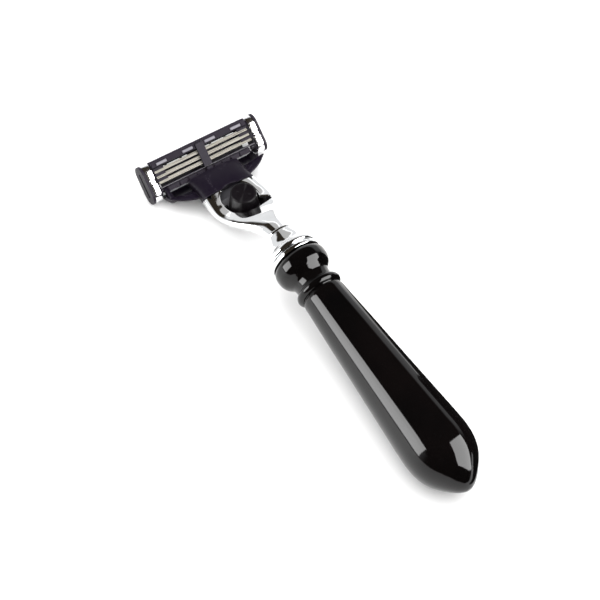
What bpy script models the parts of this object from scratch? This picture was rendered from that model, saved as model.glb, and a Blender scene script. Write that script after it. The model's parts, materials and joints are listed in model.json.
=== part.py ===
"""Cartridge razor: turned resin grip, chrome head with a release button, three-blade cartridge.

Lengths are in millimetres and MM turns them into metres. The grip's axis is Y, with the blades
towards +Y and the button on the +Z side. The whole razor is then tipped by a few degrees, so that
it lies on its pommel and on the cartridge's back edge at Z = 0.
"""

from math import asin, atan, atan2, cos, degrees, hypot, pi, radians, sin, sqrt, tan

import bmesh
import bpy
import numpy as np
from mathutils import Matrix, Vector

MM = 0.001
ROUND_SEGMENTS = 32
SMALL_SEGMENTS = 20
COIL_SEGMENTS = 12
WIRE_SIDES = 6
CREASE = radians(32.0)

# Clearances
GAP = 0.3
FINE_GAP = 0.15
RUNNING_GAP = 0.05

# Grip, collar and stud, all turned about the Y axis. The grip's end face is just behind Y = 0.
GRIP_LENGTH = 88.0
POMMEL_STATION = -72.0
POMMEL_RADIUS = 10.7
STUD_RADIUS = 2.0
STUD_BORE = 2.2
STUD_BACK = -20.0
STUD_FRONT = 13.2
INSERT_RADIUS = 4.0
INSERT_LENGTH = 21.5
RING_THICKNESS = 1.3
COLLAR_BACK = 1.6
COLLAR_FRONT = 10.3

# Head casting: a duck bill that bends down from the neck to its open mouth.
NECK_START = 10.6
MOUTH = (36.8, -9.9)
MOUTH_LEAN = 0.25
CASTING_POINTS = 40
CASTING_STEPS = 4

# Docking axis: from the mouth's centre, this many degrees below the grip's axis.
DOCK_TILT = -6.0
BUTTON_CENTRE = -8.4
BUTTON_TRAVEL = 2.8
BUTTON_RADIUS = 4.2
WELL_RADIUS = 5.8
WELL_CENTRE = BUTTON_CENTRE + BUTTON_TRAVEL + BUTTON_RADIUS + 0.2 - WELL_RADIUS
BUTTON_TOP = 7.9
EJECTOR_TOP = 2.2
EJECTOR_BOTTOM = 1.2

# Docking boss and connector
BOSS_HALF_WIDTH = 5.4
BOSS_BOTTOM = -2.1
BOSS_TOP = 0.9
BOSS_BACK = -6.0
BOSS_FRONT = 6.0
SLEEVE_CAVITY = 5.75
SLEEVE_FRONT = 9.2
FLOOR_SLOT = 3.3
YOKE_HALF_WIDTH = 18.0
YOKE_TIP = 17.6
YOKE_STEPS = 20
CRADLE_RADIUS = 4.6
CRADLE_WALL = 0.6
CRADLE_ARC = (192, 284)
CRADLE_TIP_ARC = (172, 182)
CRADLE_HALF = 12.0
PAD_DEPTH = 0.06
ARM_INNER = 15.35
ARM_OUTER = 16.45
TRUNNION_RADIUS = 0.8
TRUNNION_END = 18.7

# Plunger
PLUNGER_HEIGHT = -0.6
PLUNGER_RADIUS = 1.2
PLUNGER_BACK = -1.8
PLUNGER_HALF_WIDTH = 2.8

# Cartridge: V runs over the face from guard to cap, W out of the face, both from the face's centre.
FACE_CENTRE = (50.7, -9.7)
FACE_TILT = 32.5
PIVOT_V = -3.4
PIVOT_W = -1.3
HALF_LENGTH = 21.2
HALF_HEIGHT = 6.2
FACE_TOP = 0.4
BACK = -5.6
END_RADIUS = 2.9
PLATE_INNER = 20.35
PLATE_MARGIN = 0.15
CLIP_INNER = 17.6
CLIP_OUTER = 20.2
CLIP_THICKNESS = 0.4
GUARD_HALF = 15.15
GUARD_EDGE = -4.6
BLOCK_INNER = 17.4
POCKET_HALF = 17.3
POCKET_GUARD = -2.4
POCKET_CAP = 3.85
FLOOR_TOP = -4.6
BLADE_ROWS = (-1.35, 0.4, 2.15)
BLADE_HALF_LENGTH = 17.1
BLADE_DEPTH = 1.2
BLADE_THICKNESS = 0.25
BLADE_TILT = 24.0
BRIDGE_HALF = 1.4
STRIP_WINDOWS = (-13.7, -4.1, 4.1, 13.7)
WINDOW_HALF = 2.0
GUARD_BLOCKS = ((2.0, 4.4), (4.8, 7.5), (8.2, 10.9), (11.4, 15.1))


def clear_scene():
    for obj in list(bpy.data.objects):
        bpy.data.objects.remove(obj, do_unlink=True)


def finish_of(name, colour, roughness, metallic=0.0):
    made = bpy.data.materials.new(name)
    made.use_nodes = True
    shader = made.node_tree.nodes["Principled BSDF"]
    shader.inputs["Base Color"].default_value = (*colour, 1.0)
    shader.inputs["Roughness"].default_value = roughness
    shader.inputs["Metallic"].default_value = metallic
    return made


def make_empty(name, parent=None, place=(0, 0, 0), tilt=0.0):
    made = bpy.data.objects.new(name, None)
    bpy.context.scene.collection.objects.link(made)
    made.parent = parent
    made.location = Vector(place) * MM
    made.rotation_euler = (radians(tilt), 0, 0)
    return made


def add_mesh(name, points, faces, parent, finish=None):
    """One closed mesh object, its faces turned outwards and its round sides shaded smooth."""
    mesh = bpy.data.meshes.new(name)
    mesh.from_pydata([Vector(p) * MM for p in points], [], faces)
    work = bmesh.new()
    work.from_mesh(mesh)
    bmesh.ops.recalc_face_normals(work, faces=work.faces)
    work.to_mesh(mesh)
    work.free()
    mesh.shade_smooth()
    mesh.set_sharp_from_angle(angle=CREASE)
    made = bpy.data.objects.new(name, mesh)
    bpy.context.scene.collection.objects.link(made)
    made.parent = parent
    if finish is None:
        made.hide_render = True
        made.display_type = "WIRE"
    else:
        mesh.materials.append(finish)
    return made


def combine(target, helper, operation="DIFFERENCE"):
    change = target.modifiers.new(f"{operation.lower()}_{helper.name}", "BOOLEAN")
    change.operation = operation
    change.solver = "EXACT"
    change.object = helper


def loft(name, rings, parent, finish=None):
    """A closed skin through rings that have the same number of points."""
    count = len(rings[0])
    points = [point for ring in rings for point in ring]
    faces = []
    for row in range(len(rings) - 1):
        for k in range(count):
            after = (k + 1) % count
            low, high = row * count, (row + 1) * count
            faces.append((low + k, low + after, high + after, high + k))
    faces.append(tuple(range(count)))
    faces.append(tuple(range(len(points) - count, len(points))))
    return add_mesh(name, points, faces, parent, finish)


def prism(name, outline, low_x, high_x, parent, finish=None):
    """An outline in the Y-Z plane, pushed along X."""
    rings = [[(x, y, z) for y, z in outline] for x in (low_x, high_x)]
    return loft(name, rings, parent, finish)


def box(name, x_range, y_range, z_range, parent, finish=None):
    (y0, y1), (z0, z1) = y_range, z_range
    return prism(name, [(y0, z0), (y1, z0), (y1, z1), (y0, z1)], *x_range, parent, finish)


def turned(name, outline, parent, finish=None, segments=ROUND_SEGMENTS, centre=(0, 0)):
    """A closed outline of (station, radius) turned about Y. A point of radius 0 is one apex."""
    points, rows = [], []
    for station, radius in outline:
        first = len(points)
        around = segments if radius else 1
        for k in range(around):
            angle = 2 * pi * k / segments
            x = centre[0] + radius * cos(angle)
            points.append((x, station, centre[1] + radius * sin(angle)))
        rows.append([first + k % around for k in range(segments)])
    faces = []
    for row, after_row in zip(rows, rows[1:] + rows[:1]):
        for k in range(segments):
            after = (k + 1) % segments
            corners = [row[k], row[after], after_row[after], after_row[k]]
            corners = list(dict.fromkeys(corners))
            if len(corners) > 2:
                faces.append(corners)
    return add_mesh(name, points, faces, parent, finish)


def rod(name, station_range, radius, parent, finish=None, centre=(0, 0), segments=SMALL_SEGMENTS):
    """A plain round rod along Y."""
    low, high = station_range
    outline = [(low, 0), (low, radius), (high, radius), (high, 0)]
    return turned(name, outline, parent, finish, segments, centre)


def arc(centre, radius, start, end, count):
    """Points on an arc, in degrees, both ends included."""
    angles = [radians(start + (end - start) * k / (count - 1)) for k in range(count)]
    return [(centre[0] + radius * cos(a), centre[1] + radius * sin(a)) for a in angles]


def smooth_through(controls, steps):
    """A Catmull-Rom curve through the control rows, with this many steps between two of them."""
    rows = np.array(controls, float)
    rows = np.vstack([2 * rows[0] - rows[1], rows, 2 * rows[-1] - rows[-2]])
    curve = []
    for a, b, c, d in zip(rows, rows[1:], rows[2:], rows[3:]):
        for t in np.arange(steps) / steps:
            bend = (2 * a - 5 * b + 4 * c - d) * t**2 + (3 * b - 3 * c + d - a) * t**3
            curve.append((2 * b + (c - a) * t + bend) / 2)
    return curve + [rows[-2]]


def make_coil(name, station_range, radius, wire, turns, centre, parent, finish):
    """A compression spring along Y, as one round wire."""
    low, high = station_range
    count = int(turns * COIL_SEGMENTS)
    rings = []
    for k in range(count + 1):
        angle = 2 * pi * k / COIL_SEGMENTS
        outwards = Vector((cos(angle), 0, sin(angle)))
        middle = Vector((centre[0], low + wire + (high - low - 2 * wire) * k / count, centre[1]))
        middle += outwards * radius
        ring = []
        for side in range(WIRE_SIDES):
            turn = 2 * pi * side / WIRE_SIDES
            ring.append(middle + outwards * wire * cos(turn) + Vector((0, wire * sin(turn), 0)))
        rings.append(ring)
    return loft(name, rings, parent, finish)


# ---------------------------------------------------------------- grip and collar


def grip_outline():
    """From the rim of the bell, over the bead and the pear-shaped body, to the pommel's tip."""
    bell = [(-0.3, 7.9), (-1.1, 8.45), (-2.4, 8.65), (-4.2, 8.5), (-5.6, 7.9), (-6.7, 6.95)]
    waist = [(-7.6, 6.25), (-8.6, 6.05), (-9.7, 6.1)]
    bead = arc((-12.0, 5.9), 1.5, 40, 140, 6)
    body = [(-15.0, 6.7), (-17.0, 6.9), (-28.0, 7.75), (-42.0, 8.7), (-56.0, 9.7), (-67.0, 10.5)]
    pommel = [(POMMEL_STATION, POMMEL_RADIUS), (-76.0, 10.1), (-79.2, 8.85), (-82.0, 6.75), (-85.0, 3.6)]
    tip = [(-87.2, 1.1), (-GRIP_LENGTH, 0)]
    return bell + waist + bead + smooth_through(body + pommel, 3) + tip


def make_grip(parent):
    bore_end = -(INSERT_LENGTH + 1.5)
    bore = INSERT_RADIUS + GAP
    outline = [(bore_end, 0), (bore_end, bore), (-0.3, bore)] + grip_outline()
    turned("handle_grip", outline, parent, finish_of("black_resin", (0.006, 0.006, 0.007), 0.08))


def make_insert(parent):
    back, front = -INSERT_LENGTH, -1.0
    knurl = INSERT_RADIUS - 0.4
    outside = [(back, knurl), (back + 0.6, INSERT_RADIUS), (-13.0, INSERT_RADIUS), (-12.5, knurl)]
    outside += [(-10.5, knurl), (-10.0, INSERT_RADIUS), (front, INSERT_RADIUS)]
    outline = [(front, STUD_BORE), (back, STUD_BORE)] + outside
    turned("threaded_insert", outline, parent, finish_of("brass", (0.75, 0.55, 0.22), 0.3, 1.0))


def make_stud(parent):
    finish = finish_of("zinc_plated_steel", (0.6, 0.6, 0.62), 0.35, 1.0)
    chamfer = 0.5
    outline = [(STUD_BACK, 0), (STUD_BACK, STUD_RADIUS - chamfer)]
    outline += [(STUD_BACK + chamfer, STUD_RADIUS), (STUD_FRONT - chamfer, STUD_RADIUS)]
    outline += [(STUD_FRONT, STUD_RADIUS - chamfer), (STUD_FRONT, 0)]
    turned("neck_stud", outline, parent, finish, SMALL_SEGMENTS)


def make_collar_ring(parent, chrome):
    rim = 8.3
    round_off = 0.3
    outline = [(0.0, STUD_BORE), (0.0, rim - round_off), (round_off, rim)]
    outline += [(RING_THICKNESS - round_off, rim), (RING_THICKNESS, rim - round_off)]
    turned("collar_ring", outline + [(RING_THICKNESS, STUD_BORE)], parent, chrome)


def make_collar(parent, chrome):
    """A rounded lobe, then a concave flare down to the chamfered front."""
    lobe = [(COLLAR_BACK, 7.7), (1.9, 8.15), (2.4, 8.3), (3.0, 8.25), (3.6, 7.9), (4.1, 7.25)]
    flare = smooth_through([(4.6, 6.6), (5.6, 6.25), (6.8, 6.0), (8.5, 5.4), (9.7, 5.05)], 2)
    front = [(COLLAR_FRONT - 0.2, 4.8), (COLLAR_FRONT, 4.3), (COLLAR_FRONT, STUD_BORE)]
    outline = [(COLLAR_BACK, STUD_BORE)] + lobe + flare + front
    turned("collar", outline, parent, chrome)


# ---------------------------------------------------------------- head casting


def casting_sections():
    """Rows of station, height of the widest line, half-width, crown above it and belly below it."""
    return smooth_through(
        [
            (NECK_START, 0.0, 3.9, 3.9, 3.9, 2.0, 0.0),
            (14.5, -0.9, 4.3, 3.5, 3.7, 2.0, 0.05),
            (19.0, -2.7, 6.2, 2.9, 5.0, 2.1, 0.1),
            (23.5, -4.8, 8.3, 2.0, 6.2, 2.3, 0.15),
            (28.0, -6.8, 9.4, 1.6, 6.5, 2.5, 0.2),
            (32.5, -8.5, 9.6, 2.6, 5.4, 2.6, MOUTH_LEAN),
            (*MOUTH, 9.4, 3.5, 3.5, 2.6, MOUTH_LEAN),
        ],
        CASTING_STEPS,
    )


def rounded_ring(station, height, half_width, crown, belly, power, lean):
    """A superellipse across the casting, its plane leaning back by lean per unit of height."""
    ring = []
    for k in range(CASTING_POINTS):
        angle = 2 * pi * k / CASTING_POINTS
        side, up = cos(angle), sin(angle)
        x = half_width * abs(side) ** (2 / power) * (1 if side > 0 else -1)
        rise = abs(up) ** (2 / power) * (crown if up > 0 else -belly)
        ring.append((x, station - lean * rise, height + rise))
    return ring


def make_casting_cavity(parent):
    """The hollow behind the mouth. Its roof is level and its floor rises towards the neck."""
    rings = []
    rows = ((1.5, 8.3, -2.7), (-4.0, 8.1, -2.6), (-8.0, 7.3, -2.0), (-13.6, 5.0, 0.3))
    for station, half_width, floor in rows:
        roof = 2.65
        corner = 1.0
        ring = []
        for x, z in ((half_width, roof), (-half_width, roof), (-half_width, floor), (half_width, floor)):
            inner_x = x - corner * (1 if x > 0 else -1)
            inner_z = z - corner * (1 if z == roof else -1)
            pair = [(x, inner_z), (inner_x, z)]
            ring += pair if (x > 0) == (z == roof) else pair[::-1]
        rings.append([(x, station, z) for x, z in ring])
    return loft("casting_cavity", rings, parent)


def well_outline():
    """The button's round well, with a short slot running off its rear right side."""
    slot_radius = 1.1
    slot_end = (6.9, WELL_CENTRE - 4.3)
    round_part = arc((0.0, WELL_CENTRE), WELL_RADIUS, -25, 200, 22)
    rear = [(-4.6, WELL_CENTRE - 4.4), (-3.0, WELL_CENTRE - 5.9), (-0.9, WELL_CENTRE - 6.7)]
    rear += [(1.6, WELL_CENTRE - 6.75), (4.2, WELL_CENTRE - 6.2)]
    return round_part + rear + arc(slot_end, slot_radius, -75, 80, 7)


def make_well_cutter(parent):
    rings = [[(x, y, z) for x, y in well_outline()] for z in (0.5, 9.0)]
    return loft("button_well_cutter", rings, parent)


def make_casting(grip_axis, dock, chrome):
    rings = [rounded_ring(*row) for row in casting_sections()]
    casting = loft("head_casting", rings, grip_axis, chrome)
    bore = rod("neck_bore_cutter", (NECK_START - 1, STUD_FRONT + 0.4), STUD_BORE, grip_axis)
    for cutter in (make_casting_cavity(dock), make_well_cutter(dock), bore):
        combine(casting, cutter)


# ---------------------------------------------------------------- release mechanism


def make_button(dock):
    """A round thumb button with a slightly domed top and a blind hole for the ejector's post."""
    finish = finish_of("satin_black_plastic", (0.012, 0.011, 0.013), 0.32)
    low = EJECTOR_TOP + GAP / 2
    side = [(low, BUTTON_RADIUS - 0.1), (3.4, BUTTON_RADIUS), (5.6, BUTTON_RADIUS - 0.1)]
    dome = [(7.0, 4.05), (7.45, 3.85), (7.7, 3.4), (BUTTON_TOP - 0.05, 2.0), (BUTTON_TOP, 0)]
    post_hole = [(5.6, 0), (5.6, 1.35), (low, 1.35)]
    button = turned("release_button", post_hole + side + dome, dock, finish, ROUND_SEGMENTS)
    stand_upright(button)


def stand_upright(button):
    """Turns a piece made along Y so that it stands along Z on the button's centre line."""
    upright = Matrix.Translation((0, BUTTON_CENTRE * MM, 0)) @ Matrix.Rotation(pi / 2, 4, "X")
    button.data.transform(upright)


def make_ejector(dock):
    """The slider under the button: a plate, a post, a spring tab and two prongs to the mouth."""
    finish = finish_of("grey_acetal", (0.055, 0.053, 0.058), 0.45)
    plate_back, plate_front = -13.0, -4.0
    heights = (EJECTOR_BOTTOM, EJECTOR_TOP)
    ejector = box("ejector", (-4.3, 4.3), (plate_back, plate_front), heights, dock, finish)
    wings = box("ejector_wings", (-6.8, 6.8), (-6.2, plate_front), heights, dock)
    tab = box("ejector_tab", (-1.9, 1.9), (-10.6, -9.8), (-0.6, EJECTOR_BOTTOM + 0.4), dock)
    post = rod("ejector_post", (EJECTOR_TOP - 0.4, 5.2), 1.2, dock)
    stand_upright(post)
    for helper in (wings, tab, post):
        combine(ejector, helper, "UNION")
    for side in (-1, 1):
        reach = sorted((side * 5.8, side * 6.8))
        prong = box(f"ejector_prong_{side}", reach, (-6.0, -0.5), (-0.9, EJECTOR_TOP - 0.1), dock)
        combine(ejector, prong, "UNION")


def make_boss(dock):
    """The plastic tongue that the connector slides over, with the plunger's bore along it."""
    finish = finish_of("black_acetal", (0.02, 0.02, 0.022), 0.5)
    widths = (-BOSS_HALF_WIDTH, BOSS_HALF_WIDTH)
    heights = (BOSS_BOTTOM, BOSS_TOP)
    boss = box("docking_boss", widths, (BOSS_BACK, BOSS_FRONT), heights, dock, finish)
    bore_range = (PLUNGER_BACK - 2.8, BOSS_FRONT + 1)
    centre = (0, PLUNGER_HEIGHT)
    combine(boss, rod("plunger_bore_cutter", bore_range, PLUNGER_RADIUS + 0.15, dock, None, centre))


def make_button_spring(dock, spring_steel):
    reach = (-9.7, BOSS_BACK - 0.1)
    make_coil("button_spring", reach, 0.85, 0.2, 4, (0, 0.0), dock, spring_steel)


def make_plunger_spring(dock, spring_steel):
    reach = (PLUNGER_BACK - 2.7, PLUNGER_BACK - 0.1)
    make_coil("plunger_spring", reach, 0.95, 0.2, 3, (0, PLUNGER_HEIGHT), dock, spring_steel)


def make_plunger(dock):
    """A round shaft with a flat paddle, whose toe pushes the cartridge below its pivot."""
    finish = finish_of("dark_acetal", (0.03, 0.027, 0.035), 0.42)
    outline = [(7.9, 0.7), (9.2, 0.7), (9.2, -1.2), (11.7, -3.5), (11.7, -4.1), (11.3, -4.6)]
    outline += [(9.2, -4.6), (7.9, -2.6)]
    span = (-PLUNGER_HALF_WIDTH, PLUNGER_HALF_WIDTH)
    plunger = prism("plunger", outline, *span, dock, finish)
    reach = (PLUNGER_BACK, 8.4)
    shaft = rod("plunger_shaft", reach, PLUNGER_RADIUS, dock, None, (0, PLUNGER_HEIGHT))
    combine(plunger, shaft, "UNION")


# ---------------------------------------------------------------- connector


def sleeve_section(half_width, roof, floor):
    """A rounded outline across the sleeve, as (x, z) pairs, flatter at the top than at the sides."""
    middle = (roof + floor) / 2
    reach = (roof - floor) / 2
    section = []
    for k in range(CASTING_POINTS):
        angle = 2 * pi * k / CASTING_POINTS
        side, up = cos(angle), sin(angle)
        x = half_width * abs(side) ** 0.72 * (1 if side > 0 else -1)
        section.append((x, middle + reach * abs(up) ** 0.8 * (1 if up > 0 else -1)))
    return section


def make_sleeve(dock, plastic):
    """Rows of station, half-width, roof and floor, from the casting's mouth to the guard."""
    rings = []
    rows = [(0.3, 9.2, 3.4, -3.4), (3.5, 9.0, 3.0, -3.3), (7.0, 9.1, 2.3, -3.2)]
    rows.append((SLEEVE_FRONT, 9.3, 1.6, -3.1))
    mouth_lean = tan(atan(MOUTH_LEAN) - radians(DOCK_TILT))
    for station, half_width, roof, floor in rows:
        lean = mouth_lean * (SLEEVE_FRONT - station) / SLEEVE_FRONT
        section = sleeve_section(half_width, roof, floor)
        rings.append([(x, station - lean * z, z) for x, z in section])
    return loft("connector", rings, dock, plastic)


def yoke_rim(x):
    """Rear edge of the crescent: half an ellipse in plan, kept behind the cradle's wall."""
    return min(6.4, 8.9 - 8.0 * sqrt(1 - (x / YOKE_HALF_WIDTH) ** 2))


def cradle_arc(x):
    """The cradle's arc round the pivot, in degrees: it runs under the pivot, but not at the tips."""
    past = max(0.0, abs(x) - CRADLE_HALF) / (YOKE_TIP - CRADLE_HALF)
    return [full + (tip - full) * sqrt(past) for full, tip in zip(CRADLE_ARC, CRADLE_TIP_ARC)]


def make_yoke(dock):
    """The crescent: a lip whose rear rim is an ellipse, running into a cradle round the pivot."""
    pivot = pivot_in_dock()
    rings = []
    for k in range(YOKE_STEPS + 1):
        x = -YOKE_TIP * cos(pi * k / YOKE_STEPS)
        rear = yoke_rim(x)
        start, end = cradle_arc(x)
        inside = arc(pivot, CRADLE_RADIUS, start, end, 12)
        outside = arc(pivot, CRADLE_RADIUS + CRADLE_WALL, end, start + 4, 12)
        lip = [(rear + 0.3, -0.75), (rear, -0.3), (rear + 0.15, -0.1)]
        lip.append(((rear + inside[0][0]) / 2, -0.45))
        rings.append([(x, y, z) for y, z in inside + outside + lip])
    yoke = loft("connector_yoke", rings, dock)
    level = make_empty("table_level", dock, (0, *pivot), -DOCK_TILT - degrees(rest_tilt()))
    pad = CRADLE_RADIUS + CRADLE_WALL - PAD_DEPTH
    wide = (-HALF_LENGTH, HALF_LENGTH)
    combine(yoke, box("pad_cutter", wide, (-9, 9), (-pad - 3, -pad), level))
    return yoke


def pivot_in_dock():
    """The pivot's place in the docking frame, as (station, height)."""
    face = radians(FACE_TILT)
    y = FACE_CENTRE[0] + PIVOT_V * cos(face) - PIVOT_W * sin(face) - MOUTH[0]
    z = FACE_CENTRE[1] + PIVOT_V * sin(face) + PIVOT_W * cos(face) - MOUTH[1]
    tilt = radians(DOCK_TILT)
    return y * cos(tilt) + z * sin(tilt), z * cos(tilt) - y * sin(tilt)


def rest_tilt():
    """The angle that lays the pommel and the crescent's pad on one level, in radians."""
    face = radians(FACE_TILT)
    pivot_y = FACE_CENTRE[0] + PIVOT_V * cos(face) - PIVOT_W * sin(face)
    pivot_z = FACE_CENTRE[1] + PIVOT_V * sin(face) + PIVOT_W * cos(face)
    run = pivot_y - POMMEL_STATION
    bulge = POMMEL_RADIUS - (CRADLE_RADIUS + CRADLE_WALL - PAD_DEPTH)
    return atan2(-pivot_z, run) - asin(bulge / hypot(run, pivot_z))


def make_arm(dock, side):
    """An arm from the crescent to the pivot, with its trunnion pointing outwards."""
    pivot = pivot_in_dock()
    root = (7.6, -1.6)
    outline = arc(root, 0.8, 80, 290, 8) + arc(pivot, 0.88, -70, 70, 8)
    arm = prism(f"connector_arm_{side}", outline, *sorted((side * ARM_INNER, side * ARM_OUTER)), dock)
    outline = arc(pivot, TRUNNION_RADIUS, 0, 337.5, 16)
    reach = sorted((side * (ARM_OUTER - 0.3), side * TRUNNION_END))
    trunnion = prism(f"connector_trunnion_{side}", outline, *reach, dock)
    return arm, trunnion


def make_connector(dock, plastic):
    """The sleeve, the crescent and two arms as one moulding, open below for the plunger's toe."""
    connector = make_sleeve(dock, plastic)
    combine(connector, make_yoke(dock), "UNION")
    for side in (-1, 1):
        for helper in make_arm(dock, side):
            combine(connector, helper, "UNION")
    width = (-SLEEVE_CAVITY, SLEEVE_CAVITY)
    combine(connector, box("sleeve_cavity", width, (-3, 12), (-2.45, 1.25), dock))
    slot = (-FLOOR_SLOT, FLOOR_SLOT)
    combine(connector, box("sleeve_floor_slot", slot, (-3, 12), (-6, -2.0), dock))


# ---------------------------------------------------------------- cartridge, in face coordinates


def on_face(outline):
    """Face coordinates (V, W) as places relative to the pivot, where the cartridge's empty is."""
    return [(v - PIVOT_V, w - PIVOT_W) for v, w in outline]


def face_prism(name, outline, low_x, high_x, parent, finish=None):
    return prism(name, on_face(outline), low_x, high_x, parent, finish)


def face_box(name, x_range, v_range, w_range, parent, finish=None):
    (v0, v1), (w0, w1) = v_range, w_range
    return face_prism(name, [(v0, w0), (v1, w0), (v1, w1), (v0, w1)], *x_range, parent, finish)


def end_outline(inset):
    """The rounded end shape, its edge moved inwards by inset."""
    radius = END_RADIUS - inset
    right, left = HALF_HEIGHT - END_RADIUS, -HALF_HEIGHT + END_RADIUS
    top, bottom = FACE_TOP - END_RADIUS, BACK + END_RADIUS
    outline = arc((right, bottom), radius, -90, 0, 6) + arc((right, top), radius, 0, 90, 6)
    return outline + arc((left, top), radius, 90, 180, 6) + arc((left, bottom), radius, 180, 270, 6)


def make_cartridge_frame(pivot, plastic):
    """The housing: guard rail, floor, cap rail, end blocks and plates, and a bridge over the blades."""
    guard, cap = GUARD_EDGE, HALF_HEIGHT - 0.05
    outline = [(guard, BACK + 0.9), (guard + 0.9, BACK), (cap - 1.2, BACK), (cap, BACK + 1.2)]
    outline += [(cap, -1.3), (POCKET_CAP + 0.1, -1.3), (POCKET_CAP + 0.1, -0.6), (guard, -0.6)]
    body = face_prism("cartridge_frame", outline, -GUARD_HALF, GUARD_HALF, pivot, plastic)
    wide = (-BLOCK_INNER - 0.2, BLOCK_INNER + 0.2)
    outline = [(-1.5, BACK), (cap - 1.2, BACK), (cap, BACK + 1.2), (cap, -1.3), (-1.5, -1.3)]
    combine(body, face_prism("rear_frame", outline, *wide, pivot), "UNION")
    pocket_v = (POCKET_GUARD, POCKET_CAP)
    pocket_x = (-POCKET_HALF, POCKET_HALF)
    combine(body, face_box("blade_pocket", pocket_x, pocket_v, (FLOOR_TOP, 3), pivot))
    for side in (-1, 1):
        window = sorted((side * 3.0, side * 14.5))
        combine(body, face_box(f"rinse_window_{side}", window, (-1.4, 3.2), (BACK - 1, 0), pivot))
        add_cartridge_end(body, pivot, side)
    lip = face_box("guard_lip", wide, (POCKET_GUARD - 0.35, POCKET_GUARD + 0.05), (-0.62, 0.0), pivot)
    combine(body, lip, "UNION")
    add_bridge(body, pivot)


def add_bridge(body, pivot):
    """A narrow bar over the blades, with a foot at each end."""
    width = (-BRIDGE_HALF, BRIDGE_HALF)
    front, rear = POCKET_GUARD - 0.1, POCKET_CAP + 1.4
    bar = face_box("bridge", width, (front, rear), (0.3, 0.85), pivot)
    front_foot = face_box("bridge_front", width, (front, POCKET_GUARD + 0.15), (-0.5, 0.6), pivot)
    rear_foot = face_box("bridge_rear", width, (rear - 0.9, rear), (-1.6, 0.6), pivot)
    for helper in (front_foot, rear_foot, bar):
        combine(body, helper, "UNION")


def add_cartridge_end(body, pivot, side):
    """One end: the block with the trunnion's bore, and the end plate with its groove."""
    inset = CLIP_THICKNESS + FINE_GAP
    reach = sorted((side * BLOCK_INNER, side * (PLATE_INNER + 0.3)))
    block = prism(f"end_block_{side}", on_face(end_outline(inset)), *reach, pivot)
    reach = sorted((side * PLATE_INNER, side * HALF_LENGTH))
    plate = prism(f"end_plate_{side}", on_face(end_outline(-PLATE_MARGIN)), *reach, pivot)
    for helper in (block, plate):
        combine(body, helper, "UNION")
    bore_outline = arc((0, 0), TRUNNION_RADIUS + RUNNING_GAP, 0, 348.75, 32)
    reach = sorted((side * (BLOCK_INNER - 1), side * (TRUNNION_END + 0.3)))
    combine(body, prism(f"trunnion_bore_{side}", bore_outline, *reach, pivot))
    reach = sorted((side * (HALF_LENGTH - 0.3), side * (HALF_LENGTH + 1)))
    combine(body, face_box(f"plate_groove_{side}", reach, (-4, 4), (-3.1, -2.1), pivot))


def make_clip(pivot, side, finish):
    """A metal band around one end of the housing, open along its back."""
    name = "clip_left" if side < 0 else "clip_right"
    outer = on_face(end_outline(0))
    inner = on_face(end_outline(CLIP_THICKNESS))
    reach = sorted((side * CLIP_INNER, side * CLIP_OUTER))
    clip = prism(name, outer, *reach, pivot, finish)
    wide = sorted((side * (CLIP_INNER - 1), side * (CLIP_OUTER + 1)))
    combine(clip, prism(f"{name}_inside", inner, *wide, pivot))
    combine(clip, face_box(f"{name}_opening", wide, (-1.2, 3.0), (BACK - 1, BACK + 1.2), pivot))
    combine(clip, face_box(f"{name}_notch", wide, (0.5, 0.95), (0.15, 1), pivot))


def make_guard(pivot):
    """The soft guard: a strip on the front rail with four blocks each side and one in the middle."""
    finish = finish_of("soft_black_rubber", (0.022, 0.018, 0.028), 0.6)
    strip_v = (GUARD_EDGE, POCKET_GUARD - 0.5)
    half = GUARD_HALF
    guard = face_box("guard_fins", (-half, half), strip_v, (-0.45, -0.15), pivot, finish)
    block_v = (GUARD_EDGE + 0.1, POCKET_GUARD - 0.8)
    for side in (-1, 1):
        for k, (near, far) in enumerate(GUARD_BLOCKS):
            reach = sorted((side * near, side * far))
            block = face_box(f"guard_block_{side}_{k}", reach, block_v, (-0.3, 0.25), pivot)
            combine(guard, block, "UNION")
    middle = face_box("guard_middle", (-0.95, 0.95), (block_v[0], strip_v[1]), (-0.3, 0.9), pivot)
    combine(guard, middle, "UNION")


def make_cap(pivot):
    """The cap rail, with four windows that show the strip under it."""
    finish = finish_of("purple_black_plastic", (0.02, 0.015, 0.025), 0.4)
    low, high = POCKET_CAP + 0.05, HALF_HEIGHT
    outline = [(low, -0.3), (high, -0.3), (high, 0.05), (high - 0.4, 0.4), (low, 0.4)]
    cap = face_prism("cap", outline, -POCKET_HALF, POCKET_HALF, pivot, finish)
    for k, centre in enumerate(STRIP_WINDOWS):
        reach = (centre - WINDOW_HALF, centre + WINDOW_HALF)
        combine(cap, face_box(f"cap_window_{k}", reach, (4.2, 5.15), (-2, 2), pivot))
    notch = BRIDGE_HALF + FINE_GAP
    combine(cap, face_box("cap_notch", (-notch, notch), (low - 1, low + 1.55), (-2, 2), pivot))


def make_lubricating_strip(pivot):
    finish = finish_of("pale_grey_strip", (0.5, 0.5, 0.54), 0.5)
    bottom, top = -1.15, -0.4
    low, high = POCKET_CAP + 0.15, HALF_HEIGHT - 0.1
    half = POCKET_HALF - 0.2
    strip = face_box("lubricating_strip", (-half, half), (low, high), (bottom, top), pivot, finish)
    inside = WINDOW_HALF - FINE_GAP
    for k, centre in enumerate(STRIP_WINDOWS):
        reach = (centre - inside, centre + inside)
        pad = face_box(f"strip_pad_{k}", reach, (4.3, 5.05), (top - 0.2, 0.3), pivot)
        combine(strip, pad, "UNION")
    notch = BRIDGE_HALF + FINE_GAP
    combine(strip, face_box("strip_notch", (-notch, notch), (low - 1, low + 1.5), (-2, 2), pivot))


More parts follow.
